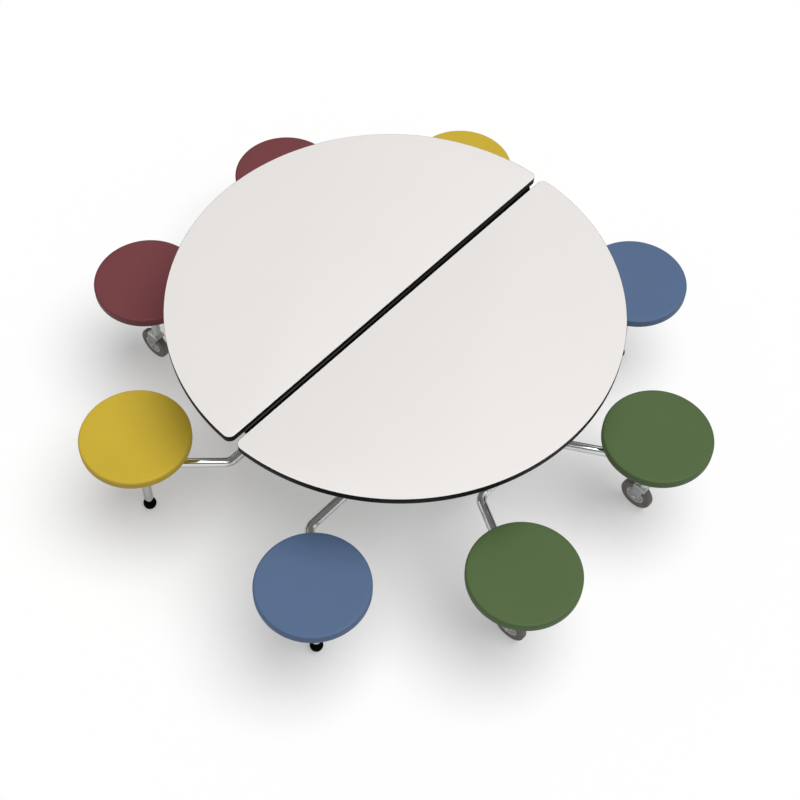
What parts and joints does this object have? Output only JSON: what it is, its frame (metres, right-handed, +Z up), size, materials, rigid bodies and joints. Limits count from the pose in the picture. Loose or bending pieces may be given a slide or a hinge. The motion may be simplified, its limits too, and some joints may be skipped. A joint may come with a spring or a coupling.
{
  "type": "mobile folding cafeteria table with attached swivel stools",
  "caption": "Round folding table in two hinged halves on tube frames, with attached round swivel seats; it rolls on casters when folded.",
  "frame": {"origin": "on the floor under the middle of the table top", "axes": "+X at right angles to the fold line, towards the half with green and blue seats; +Y along the fold line; +Z up"},
  "size_m": [2.14, 2.058, 0.759],
  "materials": {
    "core_board": "plain particle board",
    "white_laminate": "fine satin texture, white",
    "black_edge": "satin black",
    "black_moulding": "satin black",
    "bright_tube": "bright chromed steel",
    "zinc_steel": "zinc plated",
    "black_metal": "black powder coat",
    "black_rubber": "matt",
    "grey_tyre": "matt dark grey",
    "grey_rim": "satin light grey",
    "blue_seat": "satin blue",
    "green_seat": "satin green",
    "maroon_seat": "satin maroon",
    "yellow_seat": "satin yellow"
  },
  "bodies": {
    "outer_frame_a": {"outer_arm_a": "bright_tube", "outer_hoop_a": "bright_tube", "outer_posts_a": "bright_tube"},
    "top_a": {"top_core_a": "core_board", "laminate_a": "white_laminate", "edge_band_a": "black_edge", "pivot_clamps_a": "black_moulding", "top_screws_a": "zinc_steel", "hinge_brackets_a": "zinc_steel", "gap_strip": "black_edge", "hinge_rod": "zinc_steel"},
    "top_b": {"top_core_b": "core_board", "laminate_b": "white_laminate", "edge_band_b": "black_edge", "pivot_clamps_b": "black_moulding", "top_screws_b": "zinc_steel", "hinge_brackets_b": "zinc_steel"},
    "centre_frame": {"centre_post": "bright_tube"},
    "inner_frame_a": {"inner_arm_a": "bright_tube", "inner_hoop_a": "bright_tube", "inner_posts_a": "bright_tube", "rubber_feet_a": "black_rubber"},
    "stays_a": {"stay_bars_a": "bright_tube"},
    "inner_frame_b": {"inner_arm_b": "bright_tube", "inner_hoop_b": "bright_tube", "inner_posts_b": "bright_tube", "rubber_feet_b": "black_rubber"},
    "stays_b": {"stay_bars_b": "bright_tube"},
    "outer_frame_b": {"outer_arm_b": "bright_tube", "outer_hoop_b": "bright_tube", "outer_posts_b": "bright_tube"},
    "stool_green_back": {"seat_green_back": "green_seat", "swivel_green_back": "zinc_steel"},
    "stool_blue_back": {"seat_blue_back": "blue_seat", "swivel_blue_back": "zinc_steel"},
    "caster_green_back": {"caster_fork_green_back": "zinc_steel"},
    "wheel_green_back": {"caster_rim_green_back": "grey_rim", "caster_tyre_green_back": "grey_tyre"},
    "stool_green_front": {"seat_green_front": "green_seat", "swivel_green_front": "zinc_steel"},
    "stool_blue_front": {"seat_blue_front": "blue_seat", "swivel_blue_front": "zinc_steel"},
    "caster_green_front": {"caster_fork_green_front": "zinc_steel"},
    "wheel_green_front": {"caster_rim_green_front": "grey_rim", "caster_tyre_green_front": "grey_tyre"},
    "stool_maroon_back": {"seat_maroon_back": "maroon_seat", "swivel_maroon_back": "zinc_steel"},
    "stool_yellow_back": {"seat_yellow_back": "yellow_seat", "swivel_yellow_back": "zinc_steel"},
    "caster_maroon_back": {"caster_fork_maroon_back": "zinc_steel"},
    "wheel_maroon_back": {"caster_rim_maroon_back": "grey_rim", "caster_tyre_maroon_back": "grey_tyre"},
    "stool_maroon_front": {"seat_maroon_front": "maroon_seat", "swivel_maroon_front": "zinc_steel"},
    "stool_yellow_front": {"seat_yellow_front": "yellow_seat", "swivel_yellow_front": "zinc_steel"},
    "caster_maroon_front": {"caster_fork_maroon_front": "zinc_steel"},
    "wheel_maroon_front": {"caster_rim_maroon_front": "grey_rim", "caster_tyre_maroon_front": "grey_tyre"}
  },
  "joints": [
    {"name": "fold", "type": "hinge", "parent": "outer_frame_a", "child": "top_a", "pos_m": [0.541, 0, 0.714], "axis": [0, 1, 0], "range_deg": [0, 82]},
    {"name": "centre_fold", "type": "hinge", "parent": "top_a", "child": "top_b", "pos_m": [0, 0, 0.699], "axis": [0, 1, 0], "range_deg": [-164, 0]},
    {"name": "post_swing", "type": "hinge", "parent": "top_a", "child": "centre_frame", "pos_m": [0, 0, 0.699], "axis": [0, 1, 0], "range_deg": [-82, 0]},
    {"name": "inner_swing_a", "type": "hinge", "parent": "top_a", "child": "inner_frame_a", "pos_m": [0.19, 0, 0.714], "axis": [0, 1, 0], "range_deg": [-82, 0]},
    {"name": "inner_swing_b", "type": "hinge", "parent": "top_b", "child": "inner_frame_b", "pos_m": [-0.19, 0, 0.714], "axis": [0, 1, 0], "range_deg": [0, 82]},
    {"name": "outer_swing_b", "type": "hinge", "parent": "top_b", "child": "outer_frame_b", "pos_m": [-0.541, 0, 0.714], "axis": [0, 1, 0], "range_deg": [0, 82]},
    {"name": "stay_swing_a", "type": "hinge", "parent": "outer_frame_a", "child": "stays_a", "pos_m": [0.576, 0, 0.409], "axis": [0, 1, 0], "range_deg": [0, 82]},
    {"name": "stay_swing_b", "type": "hinge", "parent": "outer_frame_b", "child": "stays_b", "pos_m": [-0.576, 0, 0.409], "axis": [0, 1, 0], "range_deg": [-82, 0]},
    {"name": "seat_turn_green_back", "type": "hinge", "parent": "outer_frame_a", "child": "stool_green_back", "pos_m": [0.88, 0.355, 0.426], "axis": [0, 0, 1], "continuous": true},
    {"name": "seat_turn_blue_back", "type": "hinge", "parent": "inner_frame_a", "child": "stool_blue_back", "pos_m": [0.413, 0.839, 0.426], "axis": [0, 0, 1], "continuous": true},
    {"name": "caster_turn_green_back", "type": "hinge", "parent": "outer_frame_a", "child": "caster_green_back", "pos_m": [0.88, 0.355, 0.14], "axis": [0, 0, 1], "continuous": true},
    {"name": "wheel_roll_green_back", "type": "hinge", "parent": "caster_green_back", "child": "wheel_green_back", "pos_m": [0.86, 0.355, 0.0625], "axis": [0, 1, 0], "continuous": true},
    {"name": "seat_turn_green_front", "type": "hinge", "parent": "outer_frame_a", "child": "stool_green_front", "pos_m": [0.88, -0.355, 0.426], "axis": [0, 0, 1], "continuous": true},
    {"name": "seat_turn_blue_front", "type": "hinge", "parent": "inner_frame_a", "child": "stool_blue_front", "pos_m": [0.413, -0.839, 0.426], "axis": [0, 0, 1], "continuous": true},
    {"name": "caster_turn_green_front", "type": "hinge", "parent": "outer_frame_a", "child": "caster_green_front", "pos_m": [0.88, -0.355, 0.14], "axis": [0, 0, 1], "continuous": true},
    {"name": "wheel_roll_green_front", "type": "hinge", "parent": "caster_green_front", "child": "wheel_green_front", "pos_m": [0.86, -0.355, 0.0625], "axis": [0, 1, 0], "continuous": true},
    {"name": "seat_turn_maroon_back", "type": "hinge", "parent": "outer_frame_b", "child": "stool_maroon_back", "pos_m": [-0.88, 0.355, 0.426], "axis": [0, 0, 1], "continuous": true},
    {"name": "seat_turn_yellow_back", "type": "hinge", "parent": "inner_frame_b", "child": "stool_yellow_back", "pos_m": [-0.413, 0.839, 0.426], "axis": [0, 0, 1], "continuous": true},
    {"name": "caster_turn_maroon_back", "type": "hinge", "parent": "outer_frame_b", "child": "caster_maroon_back", "pos_m": [-0.88, 0.355, 0.14], "axis": [0, 0, 1], "continuous": true},
    {"name": "wheel_roll_maroon_back", "type": "hinge", "parent": "caster_maroon_back", "child": "wheel_maroon_back", "pos_m": [-0.9, 0.355, 0.0625], "axis": [0, 1, 0], "continuous": true},
    {"name": "seat_turn_maroon_front", "type": "hinge", "parent": "outer_frame_b", "child": "stool_maroon_front", "pos_m": [-0.88, -0.355, 0.426], "axis": [0, 0, 1], "continuous": true},
    {"name": "seat_turn_yellow_front", "type": "hinge", "parent": "inner_frame_b", "child": "stool_yellow_front", "pos_m": [-0.413, -0.839, 0.426], "axis": [0, 0, 1], "continuous": true},
    {"name": "caster_turn_maroon_front", "type": "hinge", "parent": "outer_frame_b", "child": "caster_maroon_front", "pos_m": [-0.88, -0.355, 0.14], "axis": [0, 0, 1], "continuous": true},
    {"name": "wheel_roll_maroon_front", "type": "hinge", "parent": "caster_maroon_front", "child": "wheel_maroon_front", "pos_m": [-0.9, -0.355, 0.0625], "axis": [0, 1, 0], "continuous": true}
  ],
  "couplings": [
    {"joint": "centre_fold", "follows": "fold", "ratio": -2},
    {"joint": "post_swing", "follows": "fold", "ratio": -1},
    {"joint": "inner_swing_a", "follows": "fold", "ratio": -1},
    {"joint": "inner_swing_b", "follows": "fold", "ratio": 1},
    {"joint": "outer_swing_b", "follows": "fold", "ratio": 1},
    {"joint": "stay_swing_a", "follows": "fold", "ratio": 1},
    {"joint": "stay_swing_b", "follows": "fold", "ratio": -1}
  ]
}
